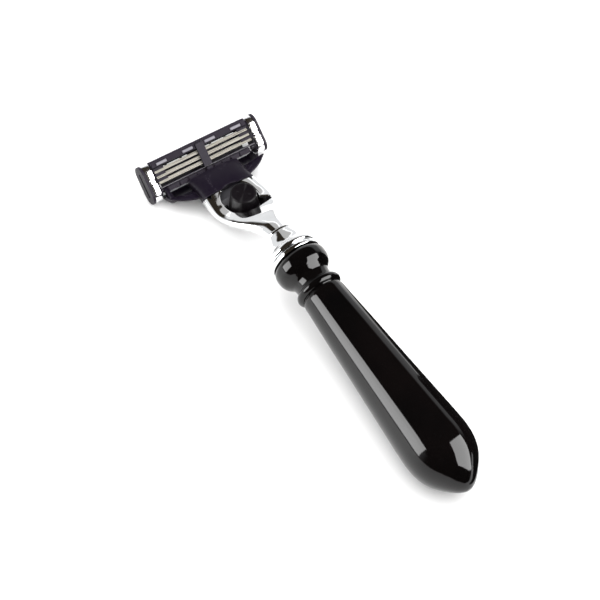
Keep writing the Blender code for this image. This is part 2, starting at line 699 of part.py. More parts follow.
def blade_outline(edge_v, start, low, high):
    """A strip parallel to the blade: from start back to the blade's rear, low to high below its top."""
    tilt = radians(BLADE_TILT)
    along = (cos(tilt), -sin(tilt))
    below = (-sin(tilt), -cos(tilt))
    outline = []
    for run, depth in ((start, low), (BLADE_DEPTH, low), (BLADE_DEPTH, high), (start, high)):
        v = edge_v + along[0] * run + below[0] * depth
        outline.append((v, along[1] * run + below[1] * depth))
    return outline


def make_blade(pivot, number, edge_v, steel):
    """A blade strip whose lower front corner is ground away, which leaves its edge on the face."""
    grind = 0.45
    top_front, top_rear, low_rear = blade_outline(edge_v, 0.0, 0.0, BLADE_THICKNESS)[:3]
    low_front = blade_outline(edge_v, grind, 0.0, BLADE_THICKNESS)[3]
    outline = [top_front, top_rear, low_rear, low_front]
    span = (-BLADE_HALF_LENGTH, BLADE_HALF_LENGTH)
    face_prism(f"blade_{number}", outline, *span, pivot, steel)


def make_blade_support(pivot, number, edge_v, steel):
    """A bent strip: a shelf parallel to the blade, and a leg down into the housing."""
    gap, thickness, leg_end = 0.1, 0.25, -3.7
    low = BLADE_THICKNESS + gap
    shelf = blade_outline(edge_v, 0.5, low, low + thickness)
    top_front, top_rear, low_rear, low_front = shelf
    leg_front = top_rear[0] - thickness
    outline = [top_front, top_rear, (top_rear[0], leg_end), (leg_front, leg_end)]
    outline += [(leg_front, low_rear[1] + 0.06), low_front]
    half = BLADE_HALF_LENGTH - 0.2
    face_prism(f"blade_support_{number}", outline, -half, half, pivot, steel)


def make_cartridge(pivot):
    plastic = finish_of("cartridge_plastic", (0.02, 0.016, 0.024), 0.38)
    clip_metal = finish_of("clip_metal", (0.86, 0.86, 0.88), 0.14, 1.0)
    blade_steel = finish_of("blade_steel", (0.78, 0.75, 0.7), 0.22, 1.0)
    support_steel = finish_of("support_steel", (0.42, 0.41, 0.4), 0.35, 1.0)
    make_cartridge_frame(pivot, plastic)
    make_guard(pivot)
    make_cap(pivot)
    make_lubricating_strip(pivot)
    for number, edge_v in enumerate(BLADE_ROWS, 1):
        make_blade(pivot, number, edge_v, blade_steel)
        make_blade_support(pivot, number, edge_v, support_steel)
    for side in (-1, 1):
        make_clip(pivot, side, clip_metal)


# ---------------------------------------------------------------- assembly


def make_handle(grip_axis, dock):
    chrome = finish_of("polished_chrome", (0.88, 0.88, 0.9), 0.06, 1.0)
    spring_steel = finish_of("spring_steel", (0.5, 0.5, 0.52), 0.3, 1.0)
    make_grip(grip_axis)
    make_insert(grip_axis)
    make_stud(grip_axis)
    make_collar_ring(grip_axis, chrome)
    make_collar(grip_axis, chrome)
    make_casting(grip_axis, dock, chrome)
    make_boss(dock)
    make_button(dock)
    make_ejector(dock)
    make_plunger(dock)
    make_button_spring(dock, spring_steel)
    make_plunger_spring(dock, spring_steel)


def lay_on_table(grip_axis):
    """Moves the tipped razor so that its box stands on Z = 0, centred in X and Y."""
    bpy.context.view_layer.update()
    graph = bpy.context.evaluated_depsgraph_get()
    corners = []
    for obj in bpy.data.objects:
        if obj.type == "MESH" and not obj.hide_render:
            shown = obj.evaluated_get(graph)
            corners += [shown.matrix_world @ vertex.co for vertex in shown.data.vertices]
    corners = np.array(corners)
    low, high = corners.min(axis=0), corners.max(axis=0)
    middle = (low + high) / 2
    grip_axis.location = (-middle[0], -middle[1], -low[2])


def main():
    clear_scene()
    grip_axis = make_empty("grip_axis", tilt=degrees(rest_tilt()))
    dock = make_empty("docking_axis", grip_axis, (0, *MOUTH), DOCK_TILT)
    make_handle(grip_axis, dock)
    make_connector(dock, finish_of("connector_plastic", (0.026, 0.02, 0.034), 0.36))
    pivot_y, pivot_z = pivot_in_dock()
    pivot = make_empty("cartridge_pivot", dock, (0, pivot_y, pivot_z), FACE_TILT - DOCK_TILT)
    make_cartridge(pivot)
    lay_on_table(grip_axis)


main()
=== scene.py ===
"""Looks of the cartridge razor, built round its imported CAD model.

Lengths are in millimetres in three local frames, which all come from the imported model:
the grip's (Y along the turned handle), the docking frame's (Y along the connector's slide)
and the face's (Y across the cartridge's face from guard to cap, Z out of it).
"""

import json
from math import atan, cos, hypot, pi, radians, sin, sqrt, tan

import bmesh
import bpy
import numpy as np
from mathutils import Matrix, Vector


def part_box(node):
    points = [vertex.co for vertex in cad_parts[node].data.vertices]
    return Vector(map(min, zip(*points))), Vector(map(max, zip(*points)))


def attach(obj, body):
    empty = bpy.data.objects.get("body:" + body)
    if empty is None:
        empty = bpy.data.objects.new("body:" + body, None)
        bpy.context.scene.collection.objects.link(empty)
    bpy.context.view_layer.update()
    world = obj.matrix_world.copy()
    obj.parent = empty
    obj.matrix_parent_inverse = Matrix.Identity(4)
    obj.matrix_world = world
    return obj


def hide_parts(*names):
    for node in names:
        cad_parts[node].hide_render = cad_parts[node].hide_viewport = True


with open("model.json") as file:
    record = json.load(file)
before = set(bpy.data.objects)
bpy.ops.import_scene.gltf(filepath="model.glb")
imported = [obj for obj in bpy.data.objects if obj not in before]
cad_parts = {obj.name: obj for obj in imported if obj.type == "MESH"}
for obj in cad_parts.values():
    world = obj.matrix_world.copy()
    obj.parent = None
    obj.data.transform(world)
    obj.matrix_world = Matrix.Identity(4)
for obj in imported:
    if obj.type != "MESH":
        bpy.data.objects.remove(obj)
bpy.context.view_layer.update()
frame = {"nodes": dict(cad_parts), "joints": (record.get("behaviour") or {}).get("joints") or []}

MM = 0.001
CREASE = radians(30)
TURNED_SEGMENTS = 192
WELD_WITHIN = 0.002

# Grip, in its own frame: Y = 0 is the flange between the chrome and the resin.
GRIP_TIP = -88.0
STUD_BORE = 2.2

# Casting and well. The mouth is placed by its station and height in the grip's frame.
MOUTH = (36.8, -9.9)
MOUTH_LEAN = 0.25
DOCK_TILT = -6.0
CASTING_POINTS = 220
CASTING_STEPS = 22
WELL_RADIUS = 5.8
WELL_CENTRE = -7.0
WELL_FRONT_CENTRE = -5.9
WELL_FRONT_RADIUS = 5.75
WELL_FILLET = 0.55
BUTTON_CENTRE = -8.4
BUTTON_LOW = 2.35

# Connector
PIVOT_IN_FACE = (-3.4, -1.3)
CRADLE_RADIUS = 4.6
CRADLE_WALL = 0.6
YOKE_HALF_WIDTH = 18.0
YOKE_TIP = 17.6
SLEEVE_FRONT = 9.2
MOULDING_VOXEL = 0.11

# Cartridge. The clip's step is given as its start, its end and the ramp beyond each.
HALF_HEIGHT = 6.2
BACK = -5.6
END_RADIUS = 2.9
FACE_TOP = 0.4
BLADE_ROWS = (-1.35, 0.4, 2.15)
BLADE_TILT = 24.0
BLADE_HALF_LENGTH = 17.1
BLADE_DEPTH = 1.2
BLADE_THICKNESS = 0.25
CLIP_STEP = (-0.5, 0.8, 0.2)

# Camera, in world millimetres and degrees
CAMERA_PLACE = (-197.1, -223.6, 457.9)
CAMERA_AIM = (-0.84, 9.72, 0.0)
CAMERA_ROLL = 7.195
CAMERA_LENS = 108.0
CAMERA_SENSOR = 36.0


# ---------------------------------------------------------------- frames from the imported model


def middle(node):
    low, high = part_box(node)
    return (low + high) / 2


def joint(name):
    return next(entry for entry in frame["joints"] if entry["name"] == name)


def local_frame(origin, along):
    """A frame in millimetres: Y along, X to the right and Z square to both."""
    right = Vector((1, 0, 0))
    along = Vector(along).normalized()
    turn = Matrix((right, along, right.cross(along))).transposed().to_4x4()
    return Matrix.Translation(origin) @ turn @ Matrix.Scale(MM, 4)


def grip_frame():
    """The ring's and the stud's middles lie on the axis, the ring's a little past the flange."""
    past_flange = 0.65
    ring, stud = middle("collar_ring"), middle("neck_stud")
    along = (ring - stud).normalized()
    return local_frame(ring - along * past_flange * MM, along)


def dock_frame():
    """The boss reaches as far behind the mouth as in front of it, with its middle below the axis."""
    below_axis = 0.6
    along = Vector(joint("button_slide")["axis"]).normalized()
    up = Vector((1, 0, 0)).cross(along)
    return local_frame(middle("docking_boss") + up * below_axis * MM, along)


def pivot_world():
    return Vector(joint("cartridge_pivot")["pos_m"])


def face_frame():
    normal = Vector(joint("blade_1_float")["axis"]).normalized()
    across = normal.cross(Vector((1, 0, 0)))
    origin = pivot_world() - (across * PIVOT_IN_FACE[0] + normal * PIVOT_IN_FACE[1]) * MM
    return local_frame(origin, across)


GRIP = grip_frame()
DOCK = dock_frame()
FACE = face_frame()


# ---------------------------------------------------------------- mesh helpers


def new_piece(name, points, faces, local):
    """A closed mesh in a local frame, its faces turned outwards, flat only where it has creases."""
    mesh = bpy.data.meshes.new(name)
    mesh.from_pydata([Vector(p) for p in points], [], faces)
    mesh.transform(local)
    work = bmesh.new()
    work.from_mesh(mesh)
    bmesh.ops.recalc_face_normals(work, faces=work.faces)
    work.to_mesh(mesh)
    work.free()
    mesh.shade_smooth()
    mesh.set_sharp_from_angle(angle=CREASE)
    made = bpy.data.objects.new(name, mesh)
    bpy.context.scene.collection.objects.link(made)
    return made


def quads_between(low, high, count):
    """The faces between two closed rows of points, given where each row starts."""
    return [(low + k, low + (k + 1) % count, high + (k + 1) % count, high + k) for k in range(count)]


def loft(name, rings, local):
    """A closed skin through rings that have the same number of points."""
    count = len(rings[0])
    points = [point for ring in rings for point in ring]
    faces = []
    for low in range(0, len(points) - count, count):
        faces += quads_between(low, low + count, count)
    faces.append(tuple(range(count)))
    faces.append(tuple(range(len(points) - count, len(points))))
    return new_piece(name, points, faces, local)


def prism(name, outline, low_x, high_x, local):
    """An outline in the Y-Z plane, pushed along X."""
    return loft(name, [[(x, y, z) for y, z in outline] for x in (low_x, high_x)], local)


def box(name, x_range, y_range, z_range, local):
    (y0, y1), (z0, z1) = y_range, z_range
    return prism(name, [(y0, z0), (y1, z0), (y1, z1), (y0, z1)], *x_range, local)


def turned(name, outline, local, segments=TURNED_SEGMENTS, reach=None):
    """A closed outline of (station, radius) turned about Y. reach may stretch a point's radius."""
    points, rows = [], []
    for station, radius in outline:
        first = len(points)
        around = segments if radius else 1
        for k in range(around):
            angle = 2 * pi * k / segments
            far = reach(station, radius, angle) if reach else radius
            points.append((far * cos(angle), station, far * sin(angle)))
        rows.append([first + k % around for k in range(segments)])
    faces = []
    for row, next_row in zip(rows, rows[1:] + rows[:1]):
        for k in range(segments):
            after = (k + 1) % segments
            corners = list(dict.fromkeys([row[k], row[after], next_row[after], next_row[k]]))
            if len(corners) > 2:
                faces.append(corners)
    return new_piece(name, points, faces, local)


def arc(centre, radius, start, end, count):
    """Points on an arc, in degrees, both ends included."""
    angles = [radians(start + (end - start) * k / (count - 1)) for k in range(count)]
    return [(centre[0] + radius * cos(a), centre[1] + radius * sin(a)) for a in angles]


def smooth_through(controls, steps):
    """A Catmull-Rom curve through the control rows, with this many steps between two of them."""
    rows = np.array(controls, float)
    rows = np.vstack([2 * rows[0] - rows[1], rows, 2 * rows[-1] - rows[-2]])
    curve = []
    for a, b, c, d in zip(rows, rows[1:], rows[2:], rows[3:]):
        for t in np.arange(steps) / steps:
            bend = (2 * a - 5 * b + 4 * c - d) * t**2 + (3 * b - 3 * c + d - a) * t**3
            curve.append((2 * b + (c - a) * t + bend) / 2)
    return curve + [rows[-2]]


def bake(piece):
    """Applies the piece's modifiers."""
    graph = bpy.context.evaluated_depsgraph_get()
    mesh = bpy.data.meshes.new_from_object(piece.evaluated_get(graph), depsgraph=graph)
    piece.modifiers.clear()
    piece.data = mesh
    return piece


def combine(target, helpers, operation="DIFFERENCE", solver="EXACT"):
    """Cuts the helpers from the target, or adds them to it, and removes them."""
    for helper in helpers:
        change = target.modifiers.new("combine", "BOOLEAN")
        change.operation = operation
        change.solver = solver
        change.object = helper
        bake(target)
        bpy.data.objects.remove(helper, do_unlink=True)
    return target


def resmooth(piece, angle=CREASE):
    piece.data.shade_smooth()
    piece.data.set_sharp_from_angle(angle=angle)
    return piece


def soften(piece, width, segments=3):
    """Rounds the creases with a bevel of this width in millimetres."""
    bevel = piece.modifiers.new("rounded_edges", "BEVEL")
    bevel.width = width * MM
    bevel.segments = segments
    bevel.limit_method = "ANGLE"
    bevel.angle_limit = CREASE
    bevel.harden_normals = False
    bevel.use_clamp_overlap = True
    return piece


def mould(piece, voxel, passes):
    """Remakes the piece as one even skin and relaxes it, which rounds edges and fills corners."""
    remesh = piece.modifiers.new("even_skin", "REMESH")
    remesh.mode = "VOXEL"
    remesh.voxel_size = voxel * MM
    relax = piece.modifiers.new("relaxed_skin", "SMOOTH")
    relax.factor = 0.5
    relax.iterations = passes
    bake(piece)
    piece.data.shade_smooth()
    return piece


def paint(piece, *materials, use=0):
    """Gives the piece its materials, and all its faces the one in the place given by use."""
    piece.data.materials.clear()
    for material in materials:
        piece.data.materials.append(material)
    piece.data.polygons.foreach_set("material_index", [use] * len(piece.data.polygons))
    return piece


def finish_piece(piece, body, slot, material, *nodes):
    """Gives the piece its body and any material, and lets it stand for CAD nodes. The record slot is not
    used.
    """
    if material:
        paint(piece, material)
    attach(piece, body)
    if nodes:
        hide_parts(*nodes)
    return piece


# ---------------------------------------------------------------- materials


class Shader:
    """A Principled material with small helpers for its procedural inputs."""

    def __init__(self, name, colour, roughness, metallic=0.0, specular=0.5):
        self.material = bpy.data.materials.new(name)
        self.material.use_nodes = True
        self.tree = self.material.node_tree
        self.principled = self.tree.nodes["Principled BSDF"]
        self.place = self.tree.nodes.new("ShaderNodeTexCoord").outputs["Object"]
        self.colour = colour
        self.set("Base Color", (*colour, 1.0))
        self.set("Roughness", roughness)
        self.set("Metallic", metallic)
        self.set("Specular IOR Level", specular)

    def set(self, name, value):
        self.principled.inputs[name].default_value = value

    def link(self, output, name):
        self.tree.links.new(output, self.principled.inputs[name])

    def noise(self, per_mm, detail, stretch=(1, 1, 1)):
        """Noise with this many features per millimetre, drawn out where stretch is small."""
        mapping = self.tree.nodes.new("ShaderNodeMapping")
        mapping.inputs["Scale"].default_value = [per_mm / MM * s for s in stretch]
        self.tree.links.new(self.place, mapping.inputs["Vector"])
        made = self.tree.nodes.new("ShaderNodeTexNoise")
        made.inputs["Scale"].default_value = 1.0
        made.inputs["Detail"].default_value = detail
        self.tree.links.new(mapping.outputs["Vector"], made.inputs["Vector"])
        return made.outputs["Fac"]

    def spread(self, value, low, high):
        """Maps the middle of a noise value on to low to high."""
        made = self.tree.nodes.new("ShaderNodeMapRange")
        made.inputs["From Min"].default_value = 0.3
        made.inputs["From Max"].default_value = 0.7
        made.inputs["To Min"].default_value = low
        made.inputs["To Max"].default_value = high
        self.tree.links.new(value, made.inputs["Value"])
        return made.outputs["Result"]

    def edges(self):
        """1 on convex edges and 0 elsewhere."""
        made = self.tree.nodes.new("ShaderNodeMapRange")
        made.inputs["From Min"].default_value = 0.5
        made.inputs["From Max"].default_value = 0.56
        pointed = self.tree.nodes.new("ShaderNodeNewGeometry").outputs["Pointiness"]
        self.tree.links.new(pointed, made.inputs["Value"])
        return made.outputs["Result"]

    def vary_colour(self, value, other):
        """Runs from the base colour at 0 to the other colour at 1."""
        mix = self.tree.nodes.new("ShaderNodeMix")
        mix.data_type = "RGBA"
        mix.inputs["A"].default_value = (*self.colour, 1.0)
        mix.inputs["B"].default_value = (*other, 1.0)
        self.tree.links.new(value, mix.inputs["Factor"])
        self.link(mix.outputs["Result"], "Base Color")

    def bump(self, value, height):
        """Bump whose peaks stand this many millimetres high."""
        made = self.tree.nodes.new("ShaderNodeBump")
        made.inputs["Strength"].default_value = 1.0
        made.inputs["Distance"].default_value = height * MM
        self.tree.links.new(value, made.inputs["Height"])
        self.link(made.outputs["Normal"], "Normal")


def make_resin():
    """Polished cast resin: near black, with faint cloudiness and hairline polishing marks."""
    look = Shader("polished_black_resin", (0.0012, 0.0011, 0.0012), 0.06, specular=0.32)
    look.vary_colour(look.spread(look.noise(0.06, 4), 0, 1), (0.0028, 0.002, 0.002))
    look.link(look.spread(look.noise(0.5, 5), 0.045, 0.085), "Roughness")
    look.bump(look.noise(2.5, 2, (1, 0.15, 1)), 0.0006)
    return look.material


def make_chrome():
    """Polished plate: slight haze in patches and a faint ripple from the casting under it."""
    look = Shader("polished_chrome", (0.83, 0.835, 0.84), 0.05, 1.0)
    look.vary_colour(look.spread(look.noise(0.15, 3), 0, 1), (0.78, 0.785, 0.79))
    look.link(look.spread(look.noise(0.7, 4), 0.035, 0.085), "Roughness")
    look.bump(look.noise(0.28, 2), 0.004)
    return look.material


def make_moulded(name, colour, other, rough, grain=0.0035, specular=0.5):
    """Moulded plastic: fine spark-eroded grain, patchy gloss, and convex edges painted paler in the
    other colour as a painted highlight.
    """
    look = Shader(name, colour, rough, specular=specular)
    # convex edges painted in the other, paler colour: a painted highlight along the edges
    look.vary_colour(look.edges(), other)
    look.link(look.spread(look.noise(0.9, 4), rough - 0.06, rough + 0.07), "Roughness")
    look.bump(look.noise(7.0, 2), grain)
    return look.material


def make_brushed(name, colour, other, rough, along=(0.02, 1, 1), depth=0.002, metallic=1.0):
    """Rolled or ground metal with its grain drawn out along X."""
    look = Shader(name, colour, rough, metallic)
    look.vary_colour(look.spread(look.noise(3.0, 3, along), 0, 1), other)
    look.link(look.spread(look.noise(5.0, 3, along), rough - 0.06, rough + 0.1), "Roughness")
    look.bump(look.noise(8.0, 2, along), depth)
    return look.material


def make_strip_polymer():
    """Dry polymer: chalky, with a streaky extruded grain."""
    look = Shader("dry_strip_polymer", (0.2, 0.19, 0.22), 0.55)
    look.vary_colour(look.spread(look.noise(1.6, 4, (0.1, 1, 1)), 0, 1), (0.15, 0.14, 0.17))
    look.bump(look.noise(4.0, 3, (0.2, 1, 1)), 0.012)
    return look.material


def make_plastics():
    # the paler colour painted on convex edges: a painted highlight
    edge_highlight_colour = (0.024, 0.02, 0.029)
    return {
        "button": make_moulded(
            "satin_button", (0.003, 0.002, 0.003), (0.012, 0.011, 0.012), 0.4, specular=0.14
        ),
        "connector": make_moulded(
            "connector_plastic", (0.005, 0.003, 0.0075), edge_highlight_colour, 0.36, specular=0.2
        ),
        "housing": make_moulded(
            "housing_plastic", (0.004, 0.003, 0.0045), edge_highlight_colour, 0.36, specular=0.07
        ),
        "cap": make_moulded("cap_plastic", (0.011, 0.0075, 0.014), edge_highlight_colour, 0.4, specular=0.06),
        "guard": make_moulded(
            "guard_rubber", (0.012, 0.008, 0.0135), edge_highlight_colour, 0.5, grain=0.008, specular=0.08
        ),
        "acetal": make_moulded("black_acetal", (0.014, 0.013, 0.015), (0.04, 0.04, 0.045), 0.4),
        "ejector": make_moulded(
            "grey_acetal", (0.03, 0.028, 0.03), (0.06, 0.06, 0.065), 0.42, specular=0.2
        ),
        # paler than the housing plastic it belongs to: the paler colour is a painted highlight line, the
        # gloss is real
        "bead": make_moulded("glossy_bead_painted_highlight", (0.03, 0.026, 0.032), edge_highlight_colour, 0.2, grain=0.001),
        "strip": make_strip_polymer(),
    }


def make_metals():
    return {
        "chrome": make_chrome(),
        # near-black matt walls of the cavity and the well: painted shade in the hollows
        "inside": make_moulded(
            "cut_walls_painted_shade", (0.012, 0.011, 0.012), (0.03, 0.03, 0.03), 0.6, grain=0.01, specular=0.1
        ),
        "clip": make_brushed(
            "rolled_clip_metal", (0.93, 0.93, 0.94), (0.86, 0.86, 0.88), 0.16, (1, 0.05, 0.05)
        ),
        "blade": make_brushed(
            "coated_blade_steel", (0.84, 0.8, 0.72), (0.66, 0.62, 0.54), 0.28, depth=0.0005, metallic=0.8
        ),
        "support": make_brushed("stamped_support_steel", (0.3, 0.3, 0.27), (0.22, 0.22, 0.2), 0.3),
        "brass": make_brushed(
            "turned_brass", (0.75, 0.55, 0.24), (0.66, 0.47, 0.2), 0.28, (1, 0.1, 1)
        ),
        "plated": make_brushed(
            "zinc_plated_steel", (0.6, 0.6, 0.62), (0.5, 0.5, 0.54), 0.32, (1, 0.1, 1)
        ),
        "spring": make_brushed("spring_wire", (0.5, 0.5, 0.52), (0.4, 0.4, 0.42), 0.3, (1, 1, 1)),
    }


FINISH = {"resin": make_resin(), **make_plastics(), **make_metals()}


def dress(node, finish, width):
    """A CAD node that shows keeps its shape, with welded corners, rounded edges and its own finish."""
    piece = frame["nodes"][node]
    weld = piece.modifiers.new("welded", "WELD")
    weld.merge_threshold = WELD_WITHIN * MM
    soften(piece, width, segments=2)
    piece.data.shade_smooth()
    smooth = piece.modifiers.new("weighted_normals", "WEIGHTED_NORMAL")
    smooth.keep_sharp = False
    piece.data.materials.clear()
    piece.data.materials.append(FINISH[finish])
    return piece


# ---------------------------------------------------------------- grip and collar


def grip_outline():
    """From the rim of the bell, over the bead and the pear-shaped body, to the pommel's tip."""
    rim = [(-0.3, 7.6), (-0.34, 7.8), (-0.5, 7.98)]
    bell = [(-0.7, 8.15), (-1.5, 8.52), (-2.6, 8.65), (-4.2, 8.5), (-5.6, 7.9), (-6.7, 6.95)]
    waist = [(-7.6, 6.25), (-8.6, 6.02), (-9.6, 6.02), (-10.3, 6.1)]
    bead = arc((-12.0, 5.9), 1.5, 12, 166, 26)
    shoulder = [(-13.65, 6.18), (-13.8, 6.4), (-14.2, 6.65)]
    body = [(-15.2, 6.8), (-17.0, 6.92), (-28.0, 7.75), (-42.0, 8.7), (-56.0, 9.7), (-67.0, 10.5)]
    pommel = [(-72.0, 10.7), (-76.0, 10.3), (-79.4, 9.2), (-82.2, 7.5), (-84.8, 5.3)]
    tip = [(-86.5, 3.5), (-87.4, 2.2), (GRIP_TIP + 0.06, 1.0)]
    return (
        rim
        + smooth_through(bell + waist, 8)
        + bead
        + smooth_through(shoulder + body + pommel + tip, 10)
        + [(GRIP_TIP, 0)]
    )


def build_grip():
    bore, bore_end = 4.3, -23.0
    outline = [(bore_end, 0), (bore_end, bore), (-0.3, bore)] + grip_outline()
    grip = turned("grip_turning", outline, GRIP)
    finish_piece(grip, "handle", "grip_resin", FINISH["resin"], "handle_grip")


def build_collar_ring():
    edge, radius, thickness = 0.32, 8.3, 1.3
    rim = arc((edge, radius - edge), edge, 180, 90, 7)
    rim += arc((thickness - edge, radius - edge), edge, 90, 0, 7)
    ring = turned("collar_disc", [(0.0, STUD_BORE)] + rim + [(thickness, STUD_BORE)], GRIP)
    finish_piece(ring, "handle", "chrome", FINISH["chrome"], "collar_ring")


def build_collar():
    """A rounded lobe, a concave flare and a small grooved front flange."""
    lobe = [(1.6, 7.55), (1.85, 8.05), (2.4, 8.3), (3.0, 8.22), (3.6, 7.85), (4.15, 7.2), (4.5, 6.72)]
    flare = [(4.75, 6.58), (5.6, 6.28), (6.8, 6.0), (8.0, 5.62), (8.9, 5.3)]
    front = [(9.0, 5.27), (9.1, 5.1), (9.35, 5.02), (9.75, 5.1), (9.95, 5.02), (10.1, 4.8)]
    outline = [(1.6, STUD_BORE)] + smooth_through(lobe, 8)
    outline += smooth_through(flare, 8) + smooth_through(front, 5)
    outline += [(10.3, 4.3), (10.3, STUD_BORE)]
    collar = turned("collar_turning", outline, GRIP)
    finish_piece(collar, "handle", "chrome", FINISH["chrome"], "collar")


# ---------------------------------------------------------------- head casting


def casting_sections():
    """Rows of station, height of the widest line, half-width, crown, belly, power and lean."""
    return smooth_through(
        [
            (10.6, 0.0, 3.9, 3.9, 3.9, 2.0, 0.0),
            (14.5, -0.9, 4.3, 3.5, 3.7, 2.0, 0.05),
            (19.0, -2.7, 6.2, 2.9, 5.0, 2.1, 0.1),
            (23.5, -4.8, 8.3, 2.0, 6.2, 2.3, 0.15),
            (28.0, -6.8, 9.4, 1.6, 6.5, 2.5, 0.2),
            (32.5, -8.5, 9.6, 2.6, 5.4, 2.6, MOUTH_LEAN),
            (*MOUTH, 9.4, 3.5, 3.5, 2.6, MOUTH_LEAN),
        ],
        CASTING_STEPS,
    )


def superellipse(half_width, crown, belly, power, count):
    """Points round a rounded section, as (x, rise) pairs, crown above the widest line."""
    section = []
    for k in range(count):
        angle = 2 * pi * k / count
        side, up = cos(angle), sin(angle)
        x = half_width * abs(side) ** (2 / power) * (1 if side > 0 else -1)
        section.append((x, abs(up) ** (2 / power) * (crown if up > 0 else -belly)))
    return section


def well_outline():
    """The button's long round well, which opens at the mouth, and a slot off its rear right side."""
    round_part = arc((0.0, WELL_CENTRE), WELL_RADIUS, -25, -6, 8)
    round_part += arc((0.0, WELL_FRONT_CENTRE), WELL_FRONT_RADIUS, 0, 180, 90)
    round_part += arc((0.0, WELL_CENTRE), WELL_RADIUS, 186, 200, 6)
    rear = [(-5.45, WELL_CENTRE - 2.0), (-5.1, WELL_CENTRE - 3.2), (-4.4, WELL_CENTRE - 4.5)]
    rear += [(-3.2, WELL_CENTRE - 5.7), (-1.2, WELL_CENTRE - 6.55), (1.6, WELL_CENTRE - 6.7)]
    rear += [(4.2, WELL_CENTRE - 6.15), (6.4, WELL_CENTRE - 5.55)]
    slot_end = (6.9, WELL_CENTRE - 4.4)
    return round_part + smooth_through(rear, 8)[1:] + arc(slot_end, 1.1, -75, 80, 18)


def distance_to_outline(points, outline):
    """(distance to the outline, whether inside it) for each 2-D point."""
    ends = np.array(outline)
    starts = np.roll(ends, 1, axis=0)
    away = np.full(len(points), np.inf)
    inside = np.zeros(len(points), bool)
    for a, b in zip(starts, ends):
        run = b - a
        share = np.clip(((points - a) @ run) / max(run @ run, 1e-12), 0, 1)
        away = np.minimum(away, np.linalg.norm(points - a - share[:, None] * run, axis=1))
        crosses = (a[1] > points[:, 1]) != (b[1] > points[:, 1])
        height = np.where(b[1] == a[1], 1e-12, b[1] - a[1])
        inside ^= crosses & (points[:, 0] < (b[0] - a[0]) * (points[:, 1] - a[1]) / height + a[0])
    return away, inside


def round_well_rim(casting):
    """Sinks the skin round the well on a quarter circle, so that its rim is rolled over."""
    lowest = 1.0
    to_dock = np.array(DOCK.inverted())
    count = len(casting.data.vertices)
    points = np.empty(count * 3)
    casting.data.vertices.foreach_get("co", points)
    local = points.reshape(-1, 3) @ to_dock[:3, :3].T + to_dock[:3, 3]
    away, inside = distance_to_outline(local[:, :2], well_outline())
    away[inside] = 0.0
    into = np.clip(WELL_FILLET - away, 0, WELL_FILLET)
    sink = WELL_FILLET - np.sqrt(np.maximum(WELL_FILLET**2 - into**2, 0))
    local[:, 2] -= np.where(local[:, 2] > lowest, sink, 0)
    from_dock = np.array(DOCK)
    placed = local @ from_dock[:3, :3].T + from_dock[:3, 3]
    casting.data.vertices.foreach_set("co", placed.ravel())
    casting.data.update()


def casting_cavity():
    """The hollow behind the mouth: its roof is level and its floor rises towards the neck."""
    roof, corner = 2.65, 1.0
    sections = ((1.5, 8.3, -2.7), (-4.0, 8.1, -2.6), (-8.0, 7.3, -2.0), (-13.6, 5.0, 0.3))
    rings = []
    for station, half_width, floor in sections:
        ring = arc((half_width - corner, roof - corner), corner, 0, 90, 6)
        ring += arc((corner - half_width, roof - corner), corner, 90, 180, 6)
        ring += arc((corner - half_width, floor + corner), corner, 180, 270, 6)
        ring += arc((half_width - corner, floor + corner), corner, 270, 360, 6)
        rings.append([(x, station, z) for x, z in ring])
    return loft("cavity", rings, DOCK)


def build_casting():
    """Chromed outside, and near-black matt where the cavity and the well are cut into it: painted shade.
    """
    rings = []
    for station, height, half_width, crown, belly, power, lean in casting_sections():
        section = superellipse(half_width, crown, belly, power, CASTING_POINTS)
        rings.append([(x, station - lean * rise, height + rise) for x, rise in section])
    finishes = (FINISH["chrome"], FINISH["inside"])
    casting = paint(loft("duck_bill_casting", rings, GRIP), *finishes)
    round_well_rim(casting)
    well = loft("well", [[(x, y, z) for x, y in well_outline()] for z in (0.5, 9.0)], DOCK)
    cutters = [paint(cutter, *finishes, use=1) for cutter in (casting_cavity(), well)]
    combine(casting, cutters, solver="MANIFOLD")
    resmooth(casting, radians(38))
    finish_piece(casting, "handle", "chrome", None, "head_casting")


# ---------------------------------------------------------------- button and ejector


def button_reach(station, radius, angle):
    """The skirt flares towards the well's sides and rear, but not forwards, where it must travel."""
    flank_from, flare_top, flare = 3.5, 6.9, 0.8
    if radius < flank_from or station > flare_top:
        return radius
    forward = max(0.0, -sin(angle))
    drop = (flare_top - station) / (flare_top - BUTTON_LOW)
    return radius + flare * drop**1.3 * (1 - forward**0.6)


def build_button():
    """A round thumb button: a dished top, a rolled edge and a flank that flares into the well."""
    bore, bore_end, crown = 1.35, 5.6, 7.52
    flank = [(BUTTON_LOW + 0.9 * k, 4.12) for k in range(5)] + [(6.6, 4.12)]
    edge = [(7.15, 4.08), (7.45, 3.95), (7.62, 3.7), (7.66, 3.4)]
    top = [(7.6, 2.8), (7.54, 2.0), (crown, 1.0)]
    outline = [(bore_end, 0), (bore_end, bore), (BUTTON_LOW, bore)]
    outline += smooth_through([(BUTTON_LOW, 4.0)] + flank + edge + top, 4) + [(crown, 0)]
    upright = DOCK @ Matrix.Translation((0, BUTTON_CENTRE, 0)) @ Matrix.Rotation(pi / 2, 4, "X")
    button = turned("thumb_button", outline, upright, 128, button_reach)
    finish_piece(button, "button", "button_plastic", FINISH["button"], "release_button")


# ---------------------------------------------------------------- connector


def pivot_in_dock():
    place = DOCK.inverted() @ pivot_world()
    return place.y, place.z


